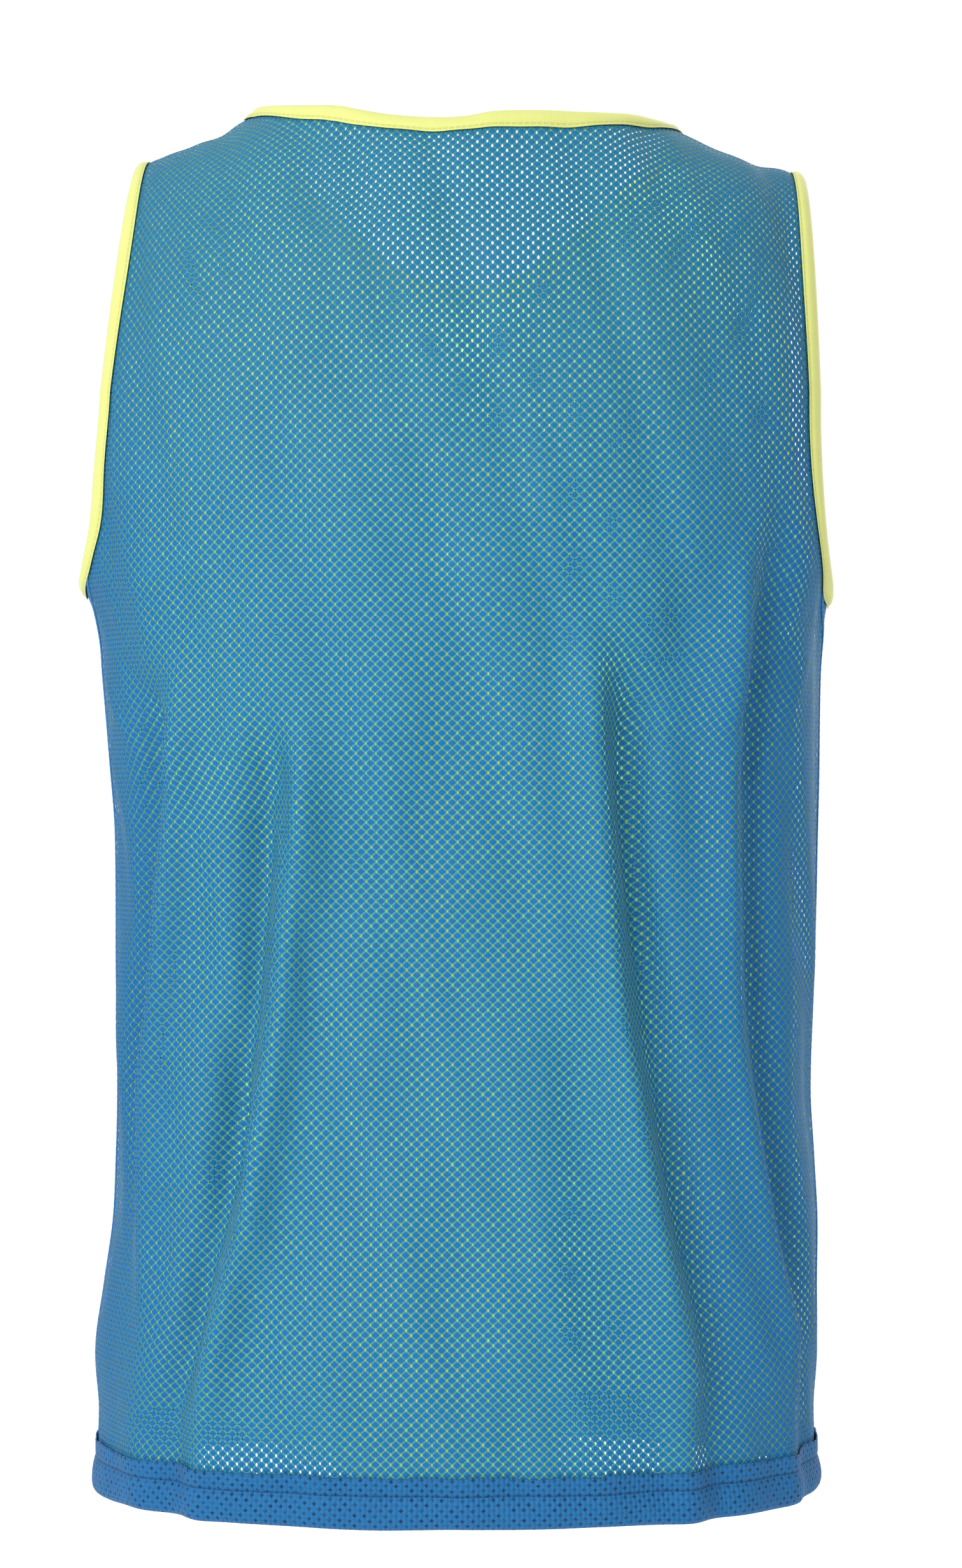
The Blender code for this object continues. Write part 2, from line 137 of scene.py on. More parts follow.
def smoothRead(xs, ys, at):  # cubic through a table's rows
    at = np.clip(at, xs[0], xs[-1])
    i = np.clip(np.searchsorted(xs, at, side="right") - 1, 0, len(xs) - 2)
    before, after = np.maximum(np.arange(len(xs)) - 1, 0), np.minimum(np.arange(len(xs)) + 1, len(xs) - 1)
    slopes = (ys[after] - ys[before]) / (xs[after] - xs[before])
    span = xs[i + 1] - xs[i]
    t = (at - xs[i]) / span
    return (ys[i] * (1 + 2 * t) * (1 - t) ** 2 + slopes[i] * span * t * (1 - t) ** 2
            + ys[i + 1] * t * t * (3 - 2 * t) + slopes[i + 1] * span * t * t * (t - 1))


def sectionRead(column, z):
    return smoothRead(body["sections"][:, 0], body["sections"][:, column], z)


def halfWidth(x, z):
    return np.where(x < 0, sectionRead(1, z), sectionRead(2, z)) * body["narrower"]


def ringPoint(side, angle, z):  # level section without folds, angle 0 is the middle of the side
    power = 2 / body["roundness"]
    own, other = (3, 4) if side == "back" else (4, 3)
    near = np.cos(angle) >= 0
    x = np.sign(angle) * halfWidth(angle, z) * np.abs(np.sin(angle)) ** power
    y = np.where(near, sectionRead(own, z), -sectionRead(other, z)) * np.abs(np.cos(angle)) ** power
    return np.stack([x, -y if side == "back" else y, z + 0 * angle], -1)


def angleAtX(x, z):
    return np.sign(x) * np.arcsin(np.minimum(1, np.abs(x) / halfWidth(x, z)) ** (body["roundness"] / 2))


def angleAtY(side, y, z):
    own, other = (3, 4) if side == "back" else (4, 3)
    share = np.minimum(1, np.abs(y) / np.where(y >= 0, sectionRead(own, z), sectionRead(other, z)))
    angle = np.arccos(share ** (body["roundness"] / 2))
    return np.where(y >= 0, angle, np.pi - angle)


def levelPoint(side, angle, z):
    here = ringPoint(side, angle, z)
    push = np.zeros(np.shape(angle))
    for top, middle, low, height, width, hemShare in folds[side]:
        at = np.clip(z, low[1], top[1])
        x = sum(a[0] * (at - b[1]) * (at - c[1]) / ((a[1] - b[1]) * (a[1] - c[1]))
                for a, b, c in ((low, middle, top), (middle, top, low), (top, low, middle)))
        line = angleAtX(x, z)
        fade = smoothstep((z - body["hemZ"]) / (low[1] + folds["rise"] - body["hemZ"]))
        strength = smoothstep((top[1] - z) / folds["rise"]) * (hemShare + (1 - hemShare) * fade)
        away = np.linalg.norm(here - ringPoint(side, line, z), axis=-1) / width
        q = np.where(np.where(line > 0, angle < line, angle > line), away, -away)
        push = push + height * strength * np.sqrt(np.e) * q * np.exp(-q * q / 2)
    along = ringPoint(side, angle + 0.002, z) - ringPoint(side, angle - 0.002, z)
    along[..., 2] = 0
    along /= np.linalg.norm(along, axis=-1, keepdims=True)
    out = np.stack([along[..., 1], -along[..., 0], 0 * push], -1) * (1 if side == "back" else -1)
    return here + out * push[..., None]


def armholeLow(right):
    return body["bladeZ"] - body["armholeDrop"][int(right)]


def edgeAngle(side, z, right=True):  # side seam below the armhole, then the armhole's oval
    low = armholeLow(right)
    sign = 1 if side == "back" else -1
    fromHem = (z - body["hemZ"]) / (low - body["hemZ"])
    seam = body["seamBackHem"] + (body["seamBack"] - body["seamBackHem"]) * fromHem
    share = np.clip((body["bladeZ"] - z) / (body["bladeZ"] - low), 0, 1)
    oval = body["armholeHalf"] * np.sqrt(1 - share ** 2) + sign * body["seamBack"] * share ** 2
    return np.where(z <= low, angleAtY(side, sign * seam, z) - 0.001, angleAtY(side, oval, z))


def crestX(x):
    blade = np.full(2, body["bladeZ"])
    left, right = ringPoint("back", edgeAngle("back", blade) * (-1, 1), blade)[:, 0]
    return np.where(x < 0, x * body["tips"][0] / -left, x * body["tips"][1] / right)


def topTurn(side, base):  # how far up the yoke a column runs, in radians of its turn
    x = crestX(base[..., 0])
    half = np.where(x < 0, *body["neckHalf"])
    power = body["neckRoundness"]
    y = body["neckDepth"][side] * np.maximum(0, 1 - (np.abs(x) / half) ** power) ** (1 / power)
    share = np.clip((y - body["seamGap"]) / (np.abs(base[..., 1]) - body["seamGap"]), 0, 1)
    return np.arccos(share ** (body["yokeRoundness"] / 2))


def rowNormals(points, side):
    across, up = np.gradient(points, axis=1), np.gradient(points, axis=0)
    normal = np.cross(across, up)
    normal /= np.maximum(np.linalg.norm(normal, axis=-1, keepdims=True), 1e-9)
    return normal if side == "back" else -normal


def besideLine(p, q, start, end, bend=0.0):  # share along a line that may bend, and distance from it
    dp, dq = end[0] - start[0], end[1] - start[1]
    t = np.clip(((p - start[0]) * dp + (q - start[1]) * dq) / (dp * dp + dq * dq), 0, 1)
    sway = bend * np.hypot(dp, dq) * np.sin(t * np.pi)
    return t, np.hypot(p - start[0] - dp * t - sway, q - start[1] - dq * t)


def creaseHeights(side, p, q):
    height = np.zeros(p.shape)
    for start, end, high, width in creases[side]:
        t, away = besideLine(p, q, start, end, 0.06 * np.sign(high))
        height += high * np.exp(-(away / width) ** 2) * (0.35 + 0.65 * np.sin(np.pi * (0.12 + 0.76 * t)))
    for waveP, waveQ, phase, high in creases["ripples"]:
        height += high * np.sin(2 * np.pi * (p / waveP + q / waveQ) + phase)
    return height


scaleStep = 0.5  # millimetres between the marks of the scales that find a place on the grid


def makeCloth(side):  # a fine grid over a panel, with cloth places p across and q up in millimetres
    quarter = np.cos(np.radians(np.linspace(0, 90, 37)))  # closer rows round an armhole's lowest point
    ovals = [body["bladeZ"] - drop * quarter for drop in body["armholeDrop"]]
    levels = np.unique(np.concatenate([np.arange(body["cutZ"], armholeLow(True) - 1, 3.0), *ovals]).round(2))
    shares = np.linspace(-1, 1, lastColumn + 1)
    leftEdge, rightEdge = edgeAngle(side, levels, False)[:, None], edgeAngle(side, levels)[:, None]
    angle = shares * np.where(shares < 0, leftEdge, rightEdge)
    lower = levelPoint(side, angle, levels[:, None] + 0 * angle)
    base = lower[-1]
    turns = (1 - (1 - np.linspace(0, 1, 81)[1:]) ** 1.7)[:, None] * topTurn(side, base)
    rise, reach = (np.maximum(f(turns), 0) ** (2 / body["yokeRoundness"]) for f in (np.sin, np.cos))
    topX = crestX(base[:, 0])
    seamY = body["seamGap"] * (1 if side == "front" else -1)
    crest = smoothRead(body["crests"][:, 0], body["crests"][:, 1], topX)
    upper = np.stack([base[:, 0] + (topX - base[:, 0]) * rise, seamY + (base[:, 1] - seamY) * reach,
                      body["bladeZ"] + (crest - body["bladeZ"]) * rise], -1)
    points = np.concatenate([lower, upper])
    blade = len(levels) - 1

    steps = np.linalg.norm(np.diff(points, axis=1), axis=-1)
    p = np.concatenate([np.zeros((len(points), 1)), np.cumsum(steps, axis=1)], axis=1)
    p -= p[:, middleColumn, None]
    p[blade:] = p[blade]
    rises = np.linalg.norm(np.diff(points[blade:], axis=0), axis=-1)
    q = np.concatenate([levels[:, None] + 0 * angle, body["bladeZ"] + np.cumsum(rises, axis=0)])

    stand = body["stand"][side]
    outside = np.maximum(0, np.abs(topX) - np.where(topX < 0, *body["neckHalf"]))
    near = np.exp(-(np.hypot(outside, q[-1] - q) / body["standReach"]) ** 2)
    points[..., 2] += smoothRead(stand[:, 0], stand[:, 1], topX) * near

    toSeam = np.minimum(np.abs(p - p[:, :1]), np.abs(p - p[:, -1:]))  # creases die away at the seams
    toTop = q[-1:] - q
    fade = (smoothstep(toSeam / creases["seamFade"]) * smoothstep(toTop / creases["topFade"])
            * smoothstep((q - body["cutZ"]) / creases["hemFade"] + 0.45))
    points = points + rowNormals(points, side) * (creaseHeights(side, p, q) * fade)[..., None]

    pLine = np.arange(-330, 330.1, scaleStep)
    qLine = np.arange(body["bladeZ"], 160, scaleStep)
    columns = np.arange(p.shape[1])
    rows = np.arange(len(points))
    return {
        "points": points, "normals": rowNormals(points, side), "p": p, "q": q, "levels": levels,
        "pLine": pLine, "qLine": qLine,  # even millimetre scales, for finding a place's column and row
        "columnAt": np.array([np.interp(pLine, row, columns) for row in p[:blade + 1]]),
        "rowAt": np.array([np.interp(qLine, q[blade:, c], rows[blade:]) for c in columns]),
    }


def between(table, row, column):  # reads a table between its rows and columns
    row = np.clip(row, 0, table.shape[0] - 1)
    column = np.clip(column, 0, table.shape[1] - 1)
    r, c = np.minimum(row.astype(int), table.shape[0] - 2), np.minimum(column.astype(int), table.shape[1] - 2)
    fr, fc = row - r, column - c
    if table.ndim == 3:
        fr, fc = fr[..., None], fc[..., None]
    return ((table[r, c] * (1 - fc) + table[r, c + 1] * fc) * (1 - fr)
            + (table[r + 1, c] * (1 - fc) + table[r + 1, c + 1] * fc) * fr)


def gridPlace(cloth, p, q):  # row and column of a cloth place, and whether it lies beyond an edge
    p, q = np.broadcast_arrays(np.asarray(p, float), np.asarray(q, float))
    pAt = (p - cloth["pLine"][0]) / scaleStep
    row = np.interp(q, cloth["levels"], np.arange(len(cloth["levels"])))
    column = between(cloth["columnAt"], row, pAt)
    high = q > body["bladeZ"]
    upRow = between(cloth["rowAt"], column, (q - cloth["qLine"][0]) / scaleStep)
    row = np.where(high, upRow, row)
    ends = [between(cloth["p"], row, np.full(row.shape, float(c))) for c in (0, lastColumn)]
    top = between(cloth["q"], np.full(row.shape, float(len(cloth["q"]) - 1)), column)
    beyond = (p < ends[0]) | (p > ends[1]) | (q > top) | (q < body["cutZ"])
    return row, column, beyond


def onCloth(cloth, p, q, lift):  # points on the cloth, moved out by lift
    row, column = gridPlace(cloth, p, q)[:2]
    return atGrid(cloth, row, column, lift)


def atGrid(cloth, row, column, lift):
    normal = between(cloth["normals"], row, column)
    normal /= np.linalg.norm(normal, axis=-1, keepdims=True)
    return between(cloth["points"], row, column) + normal * np.asarray(lift)[..., None]


cloths = {side: makeCloth(side) for side in ("back", "front")}
for side, cloth in cloths.items():
    quads = np.cross(np.diff(cloth["points"], axis=1)[:-1], np.diff(cloth["points"], axis=0)[:, :-1])
    print(side, "cloth", round(float(np.linalg.norm(quads, axis=-1).sum()) / 1e6, 4), "m2,",
          round(float(np.ptp(cloth["p"], axis=1).max())), "mm at its widest,",
          round(float(cloth["q"].max() - body["cutZ"])), "mm long")


# Meshes

def makeObject(name, points, faces, material, uvs):
    mesh = bpy.data.meshes.new(name)
    mesh.from_pydata((np.asarray(points) / 1000).tolist(), [], np.asarray(faces).tolist())
    mesh.materials.append(material)
    mesh.shade_smooth()
    corners = np.empty(len(mesh.loops), int)
    mesh.loops.foreach_get("vertex_index", corners)
    for mapName, values in uvs.items():
        layer = mesh.uv_layers.new(name=mapName)
        layer.data.foreach_set("uv", np.asarray(values, float)[corners].ravel())
    obj = bpy.data.objects.new(name, mesh)
    bpy.context.scene.collection.objects.link(obj)
    return obj


def flatMap(p, q):  # 0 to 1 over the flat cut
    return np.stack([(p - p.min()) / np.ptp(p), (q - q.min()) / np.ptp(q)], -1)


def ringFaces(count, size, closed):  # four-cornered faces between rings of points
    k, m = np.mgrid[0:count if closed else count - 1, 0:size]
    n, o = (k + 1) % count, (m + 1) % size
    return np.stack([k * size + m, k * size + o, n * size + o, n * size + m], -1).reshape(-1, 4)


def laneMap(obj, size, lanes):  # lays a long band out in lanes of a square, for baking
    faces = len(obj.data.polygons)
    count = faces // size
    station, place = np.divmod(np.repeat(np.arange(faces), 4), size)
    corner = np.tile([0, 1, 2, 3], faces)
    lane = station * lanes // count
    along = (station + np.isin(corner, (2, 3)) - lane * count / lanes) / (count / lanes + 1)
    up = (place + np.isin(corner, (1, 2))) / size
    values = np.stack([0.01 + 0.96 * along, (lane + 0.06 + 0.88 * up) / lanes], -1)
    obj.data.uv_layers.new(name="OFBake").data.foreach_set("uv", values.ravel())


def dress(obj, node):
    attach(obj, "root")
    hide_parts(node)


net = {
    "pitch": 5.0,       # from hole to hole along a course
    "course": 2.43,     # from course to course, every second one half a pitch over
    "holeWide": 1.4,
    "holeHigh": 2.3,
    "uneven": 0.05,     # how far holes stray from their place
    "sizeSpread": 0.06,
    "wide": 126, "high": 350,  # holes to a course and courses, more than any panel has
    "firstCourse": body["cutZ"] - 4,
}

slips = {
    "edge": (1.45, 0.9), "alignedEdge": (1.8, 1.4),  # where a patch ends and how softly, in half widths
    # share of a half pitch by which a lining has slipped against the outer net everywhere
    "least": {"back": 0.4, "front": 0.7},
    # hole on hole again: in the yoke before the front's low neckline and in patches above the hem
    "aligned": {
        "back": [((-60, -50), (70, -50), 34), ((0, -60), (0, -88), 38), ((-190, -655), (-60, -700), 14),
                 ((190, -690), (150, -700), 10), ((-185, -120), (-190, -560), 16),
                 ((-120, -20), (-150, -90), 20), ((120, -20), (150, -90), 20)],
        "front": []},
    # where they have slipped further: start (p, q), end (p, q), half width, share
    "back": [((6, -215), (2, -780), 42, 1.0), ((-30, -480), (-34, -790), 30, 0.9),
             ((46, -320), (50, -360), 34, 0.8), ((-104, -120), (-112, -262), 7, 0.9),
             ((-116, -262), (-112, -380), 17, 0.9), ((-92, -380), (-150, -740), 8, 1.0),
             ((-176, -300), (-168, -400), 9, 0.8), ((150, -262), (152, -780), 32, 0.95),
             ((186, -300), (200, -780), 20, 0.9), ((108, -480), (110, -760), 12, 0.7),
             ((-200, -640), (200, -650), 26, 0.35), ((-62, -38), (22, -42), 4, 0.8),
             ((-70, -58), (30, -62), 4, 0.6)],
    "front": [((-10, -220), (4, -640), 36, 1.0), ((60, -300), (70, -560), 18, 0.8),
              ((-90, -340), (-110, -680), 9, 1.0), ((-160, -280), (-150, -660), 26, 0.9),
              ((120, -200), (112, -420), 9, 0.8), ((170, -420), (168, -690), 22, 0.8)],
}


def slip(side, p, q):
    most = np.full(p.shape, slips["least"][side])
    for start, end, half, amount in slips[side]:
        away = besideLine(p, q, start, end)[1] / half
        reach, soft = slips["edge"]
        most = np.maximum(most, amount * smoothstep((reach - away) / soft))
    for start, end, half in slips["aligned"][side]:
        away = besideLine(p, q, start, end)[1] / half
        reach, soft = slips["alignedEdge"]
        most = most * (1 - 0.9 * smoothstep((reach - away) / soft))
    return most


def makeNet(name, side, lift, material, drift):
    # four points round every hole, then two triangles for each thread and for each dense spot
    cloth = cloths[side]
    pitch, course, wide, high = (net[key] for key in ("pitch", "course", "wide", "high"))
    j, i = np.mgrid[0:high, 0:wide]
    centreU = (i - wide // 2 + 0.5 * (j % 2)) * pitch
    centreV = net["firstCourse"] + j * course
    stray = random.normal(0, net["uneven"], (2, high, wide))
    size = 1 + random.normal(0, net["sizeSpread"], (high, wide))
    halfWide, halfHigh = net["holeWide"] / 2, net["holeHigh"] / 2
    offsets = np.array([(0, halfHigh), (halfWide, 0), (0, -halfHigh), (-halfWide, 0)])
    u = centreU[..., None] + offsets[:, 0] * size[..., None] + stray[0][..., None]
    v = centreV[..., None] + offsets[:, 1] * size[..., None] + stray[1][..., None]
    # the inner net isn't laid hole on hole everywhere, which gives the watery bands between them
    wanderP = 0.22 * np.sin(u / 46 + v / 160) + 0.25 * np.sin(v / 61 + u / 24)
    wanderQ = 0.25 * np.sin(u / 60 + 0.7) + 0.3 * np.sin(v / 90 + u / 40)
    p = u + drift * (pitch / 2 * slip(side, u, v) + wanderP)
    q = v + drift * wanderQ
    p, q, u, v = (values.reshape(-1) for values in (p, q, u, v))
    row, column, beyond = gridPlace(cloth, p, q)
    points = atGrid(cloth, row, column, np.full(p.shape, lift))

    def hole(dj, di, corner):  # index of a corner of a neighbouring hole; di counts half pitches
        jj = np.clip(j + dj, 0, high - 1)
        ii = np.clip(i + (di + (j % 2) - (jj % 2)) // 2, 0, wide - 1)
        return ((jj * wide + ii) * 4 + corner)[1:-2, 1:-2]

    top, right, bottom, left = 0, 1, 2, 3
    quads = [
        (hole(0, 0, top), hole(0, 0, right), hole(1, 1, bottom), hole(1, 1, left)),
        (hole(0, 0, left), hole(0, 0, top), hole(1, -1, right), hole(1, -1, bottom)),
        (hole(0, 0, right), hole(-1, 1, top), hole(0, 2, left), hole(1, 1, bottom)),
    ]
    faces = []
    for a, b, c, d in quads:
        faces += [np.stack([a, b, c], -1).reshape(-1, 3), np.stack([a, c, d], -1).reshape(-1, 3)]
    faces = np.concatenate(faces)
    faces = faces[~beyond[faces].all(axis=1)]
    if side == "front":
        faces = faces[:, ::-1]
    used, faces = np.unique(faces, return_inverse=True)
    faces = faces.reshape(-1, 3)
    uvs = {"lattice": np.stack([u / pitch, (v - net["firstCourse"]) / (2 * course)], -1)[used],
           "OFBake": flatMap(p[used], q[used])}
    obj = makeObject(name, points[used], faces, material, uvs)
    print(name, len(faces), "triangles")
    return obj


# Materials of the nets

softStep = {"interpolation_type": "SMOOTHSTEP"}
ofColours = {"data_type": "RGBA"}


def startMaterial(name, mapName):  # its nodes, and the two directions of a map in pitches or millimetres
    material = bpy.data.materials.new(name)
    material.use_nodes = True
    tree = material.node_tree
    tree.nodes.clear()
    uv = addNode(tree, "ShaderNodeUVMap", uv_map=mapName)
    place = addNode(tree, "ShaderNodeSeparateXYZ", {0: uv})
    return material, tree, uv, place.outputs[0], place.outputs[1]


def holeRows(tree, u, v):  # distances to the two slanting rows of holes: the nearer one, the further one
    rows = []
    for operation in ("ADD", "SUBTRACT"):
        slant = addNode(tree, "ShaderNodeMath", {0: u, 1: v}, operation=operation)
        rows.append(addNode(tree, "ShaderNodeMath", {0: slant, 1: 0.5}, operation="PINGPONG"))
    return [addNode(tree, "ShaderNodeMath", {0: rows[0], 1: rows[1]}, operation=operation)
            for operation in ("MINIMUM", "MAXIMUM")]


def stitchRow(tree, along, across, look):  # a line beside the edge, and the dashes of its stitches
    toLine = addNode(tree, "ShaderNodeMath", {0: across, 1: look["stitchAt"]}, operation="SUBTRACT")
    toLine = addNode(tree, "ShaderNodeMath", {0: toLine}, operation="ABSOLUTE")
    near, far = look["stitchHalf"]
    line = addNode(tree, "ShaderNodeMapRange", {0: toLine, 1: near, 2: far, 3: 1.0, 4: 0.0}, **softStep)
    dash = addNode(tree, "ShaderNodeMath", {0: along, 1: look["stitch"] / 2}, operation="PINGPONG")
    low, high, first, last = look["dash"]
    dash = addNode(tree, "ShaderNodeMapRange", {0: dash, 1: low, 2: high, 3: first, 4: last}, **softStep)
    return line, dash


def cloudedGround(tree, uv, look, first, second):  # uneven dye and tension between two near colours
    cloud = addNode(tree, "ShaderNodeTexNoise", {"Vector": uv, "Scale": look["cloud"], "Detail": 3.0,
                                                 "Roughness": look.get("cloudRoughness", 0.5)})
    return addNode(tree, "ShaderNodeMix", {"Factor": cloud, 6: hexToLinear(look[first]),
                                           7: hexToLinear(look[second])}, **ofColours)


def finishCloth(tree, look, colour, height, through=None):  # polyester yarn, and the light that comes through
    bump = addNode(tree, "ShaderNodeBump", {"Height": height, "Strength": look["relief"][0],
                                            "Distance": look["relief"][1]})
    shader = addNode(tree, "ShaderNodeBsdfPrincipled", {
        "Base Color": colour, "Roughness": look["roughness"], "IOR": 1.53,
        "Specular IOR Level": look["shine"], "Sheen Weight": look["sheen"],
        "Sheen Roughness": look["sheenRoughness"], "Normal": bump})
    if through is not None:
        glow = addNode(tree, "ShaderNodeBsdfTranslucent", {"Color": through})
        shader = addNode(tree, "ShaderNodeMixShader", {0: look["seeThrough"], 1: shader, 2: glow})
    addNode(tree, "ShaderNodeOutputMaterial", {0: shader})


def netMaterial(look):
    # warp-knitted polyester eyelet mesh: dense shiny spots joined by sheer slanting threads,
    # so the eye sees small soft pads, paler diagonals and a dark rim of painted shade at each eyelet
    material, tree, uv, u, v = startMaterial(look["name"], "lattice")
    nearest, furthest = holeRows(tree, u, v)
    sheer = addNode(tree, "ShaderNodeMapRange", {0: nearest, 1: 0.03, 2: 0.2, 3: 1.0, 4: 0.0}, **softStep)
    rim = addNode(tree, "ShaderNodeMapRange", {0: furthest, 1: 0.15, 2: 0.31, 3: look["rim"], 4: 0.0},
                  **softStep)
    ground = cloudedGround(tree, uv, look, "pad", "padLight")
    thread = addNode(tree, "ShaderNodeMix", {"Factor": sheer, 6: ground, 7: hexToLinear(look["sheer"])},
                     **ofColours)
    # painted shade and light: towards the sides both nets are drawn darker as painted shade, and over the
    # yoke the yellow net is drawn paler as painted light and the blue one duller and greener as painted shade
    offMiddle = addNode(tree, "ShaderNodeMath", {0: u, 1: 5.0}, operation="ADD")
    offMiddle = addNode(tree, "ShaderNodeMath", {0: offMiddle}, operation="ABSOLUTE")
    for value, low, high, name in ((offMiddle, 20.0, 42.0, "paintedSideShade"), (v, 92.0, 132.0, "top")):
        share = addNode(tree, "ShaderNodeMapRange", {0: value, 1: low, 2: high, 3: 0.0, 4: look[name][1]},
                        **softStep)
        thread = addNode(tree, "ShaderNodeMix", {"Factor": share, 6: thread, 7: hexToLinear(look[name][0])},
                         **ofColours)
    # the rim's colour is painted shade round each eyelet
    colour = addNode(tree, "ShaderNodeMix", {"Factor": rim, 6: thread, 7: hexToLinear(look["shade"])},
                     **ofColours)
    # knit wales run up the cloth, six to a hole pitch; they are really finer than a pixel
    wale = addNode(tree, "ShaderNodeMath", {0: u, 1: 6 * 2 * np.pi}, operation="MULTIPLY")
    wale = addNode(tree, "ShaderNodeMath", {0: wale}, operation="SINE")
    height = addNode(tree, "ShaderNodeMapRange", {0: nearest, 1: 0.0, 2: 0.34, 3: 0.0, 4: 1.0},
                     **softStep)
    height = addNode(tree, "ShaderNodeMath", {0: wale, 1: 0.09, 2: height}, operation="MULTIPLY_ADD")
    finishCloth(tree, look, colour, height, thread)
    return material


blueNet = {
    "name": "blue warp-knitted polyester mesh",
    "pad": "#085A94", "padLight": "#0E659C", "sheer": "#3A8C9A", "shade": "#0A4878",
    "rim": 0.4, "cloud": 0.16, "cloudRoughness": 0.55, "relief": (0.55, 0.0004),
    "roughness": 0.62, "shine": 0.22, "sheen": 0.04, "sheenRoughness": 0.45, "seeThrough": 0.25,
    # colour and share of the painted shade towards the sides and of the painted shade over the yoke
    "paintedSideShade": ("#045898", 0.55), "top": ("#1E6A80", 0.45),
}
yellowNet = {
    "name": "yellow warp-knitted polyester mesh",
    "pad": "#A2C268", "padLight": "#AFCC78", "sheer": "#93C48E", "shade": "#86A850",
    "rim": 0.3, "cloud": 0.16, "cloudRoughness": 0.55, "relief": (0.55, 0.0004),
    "roughness": 0.64, "shine": 0.22, "sheen": 0.05, "sheenRoughness": 0.45, "seeThrough": 0.2,
    # colour and share of the painted shade towards the sides and of the painted light over the yoke
    "paintedSideShade": ("#86B088", 0.5), "top": ("#D8E6AC", 0.6),
}
blueMesh, yellowMesh = netMaterial(blueNet), netMaterial(yellowNet)

# each sheet: side, CAD node, material, slot, lift, drift of its holes against the outer net
nets = [
    ("backNet", "back", "back_panel", blueMesh, "blue_net", -0.2, 0.0),
    ("frontNet", "front", "front_panel", blueMesh, "blue_net", -0.2, 0.0),
    ("backLining", "back", "back_lining", yellowMesh, "yellow_net", -1.0, 1.0),
    ("frontLining", "front", "front_lining", yellowMesh, "yellow_net", -1.0, 1.0),
]
sheets = {}
for name, side, node, material, slotName, lift, drift in nets:
    sheets[name] = makeNet(name, side, lift, material, drift)
    dress(sheets[name], node)
print("nets done")



# Bound edges

tape = {
    "neck": 8.3, "armhole": 9.8,   # from the fold to the free edge
    "thick": 0.8, "thinEnd": 0.35, "thicker": 0.45,  # thinner along its free edges
    "outside": 0.75,    # how far its outer leg lies off the blue net
    "inside": -2.2,     # and its inner leg, past the yellow net
    "puff": 1.0,        # the fold is not pressed flat
    "lap": 1.3,         # past the cut edge of the nets
    "station": 2.2,
    "name": "lemon rib-knit polyester tape",
    "colour": "#B3B764", "light": "#BBBF70", "shade": "#8E9548",
    "rib": 0.9,         # millimetres from rib to rib
    "stitch": 3.1,      # length of one stitch of the coverstitch
    "stitchAt": 1.5,    # from the free edge
    "stitchHalf": (0.25, 0.7), "dash": (0.15, 0.5, 0.0, 1.0),
    "cloud": 0.09, "relief": (0.5, 0.0003),
    "roughness": 0.68, "shine": 0.35, "sheen": 0.2, "sheenRoughness": 0.5,
    "joinX": -64, "lanes": 8,
}


def tapeMaterial():
    # rib-knit polyester binding, folded and coverstitched: fine cross ribs, a line of sunk stitches,
    # a matte lemon, turned a little olive by painted shade in the troughs of the ribs and in the sunk
    # stitches
    material, tree, uv, along, across = startMaterial(tape["name"], "tape")
    rib = addNode(tree, "ShaderNodeMath", {0: along, 1: 2 * np.pi / tape["rib"]}, operation="MULTIPLY")
    rib = addNode(tree, "ShaderNodeMath", {0: rib}, operation="SINE")
    rib = addNode(tree, "ShaderNodeMapRange", {0: rib, 1: -1.0, 2: 1.0, 3: 0.0, 4: 1.0})
    line, dash = stitchRow(tree, along, across, tape)
    hollow = addNode(tree, "ShaderNodeMath", {0: line, 1: dash}, operation="MULTIPLY")
    colour = cloudedGround(tree, uv, tape, "colour", "light")
    # painted shade: the rib troughs and the sunk stitches are mixed towards the olive shade colour
    for mask, share in ((rib, 0.14), (hollow, 0.42)):
        shade = addNode(tree, "ShaderNodeMath", {0: mask, 1: share}, operation="MULTIPLY")
        colour = addNode(tree, "ShaderNodeMix", {"Factor": shade, 6: colour, 7: hexToLinear(tape["shade"])},
                         **ofColours)
    height = addNode(tree, "ShaderNodeMath", {0: rib, 1: -0.35}, operation="MULTIPLY")
    height = addNode(tree, "ShaderNodeMath", {0: hollow, 1: -1.2, 2: height}, operation="MULTIPLY_ADD")
    finishCloth(tree, tape, colour, height)
    return material


def tapeProfile(width):  # middle line of the folded tape: depth from the cut edge, lift, millimetres across
    legs = np.linspace(1, 0, 13)
    groove = np.exp(-((width * (1 - legs) - tape["stitchAt"]) / 0.7) ** 2)
    puff = tape["puff"] * np.sin(np.pi * np.clip(legs * 1.12, 0, 1)) ** 0.7
    outer = np.stack([legs * width, tape["outside"] + puff - 0.55 * groove], -1)
    inner = np.stack([legs * width, tape["inside"] - 0.6 * puff + 0.3 * groove], -1)[::-1]
    turn = np.linspace(0, np.pi, 9)[1:-1]
    middle, half = (outer[-1, 1] + inner[0, 1]) / 2, (outer[-1, 1] - inner[0, 1]) / 2
    fold = np.stack([-tape["lap"] * np.sin(turn), middle + half * np.cos(turn)], -1)
    line = np.concatenate([outer, fold, inner])
    length = np.concatenate([[0], np.cumsum(np.linalg.norm(np.diff(line, axis=0), axis=1))])
    return line, np.minimum(length, length[-1] - length)


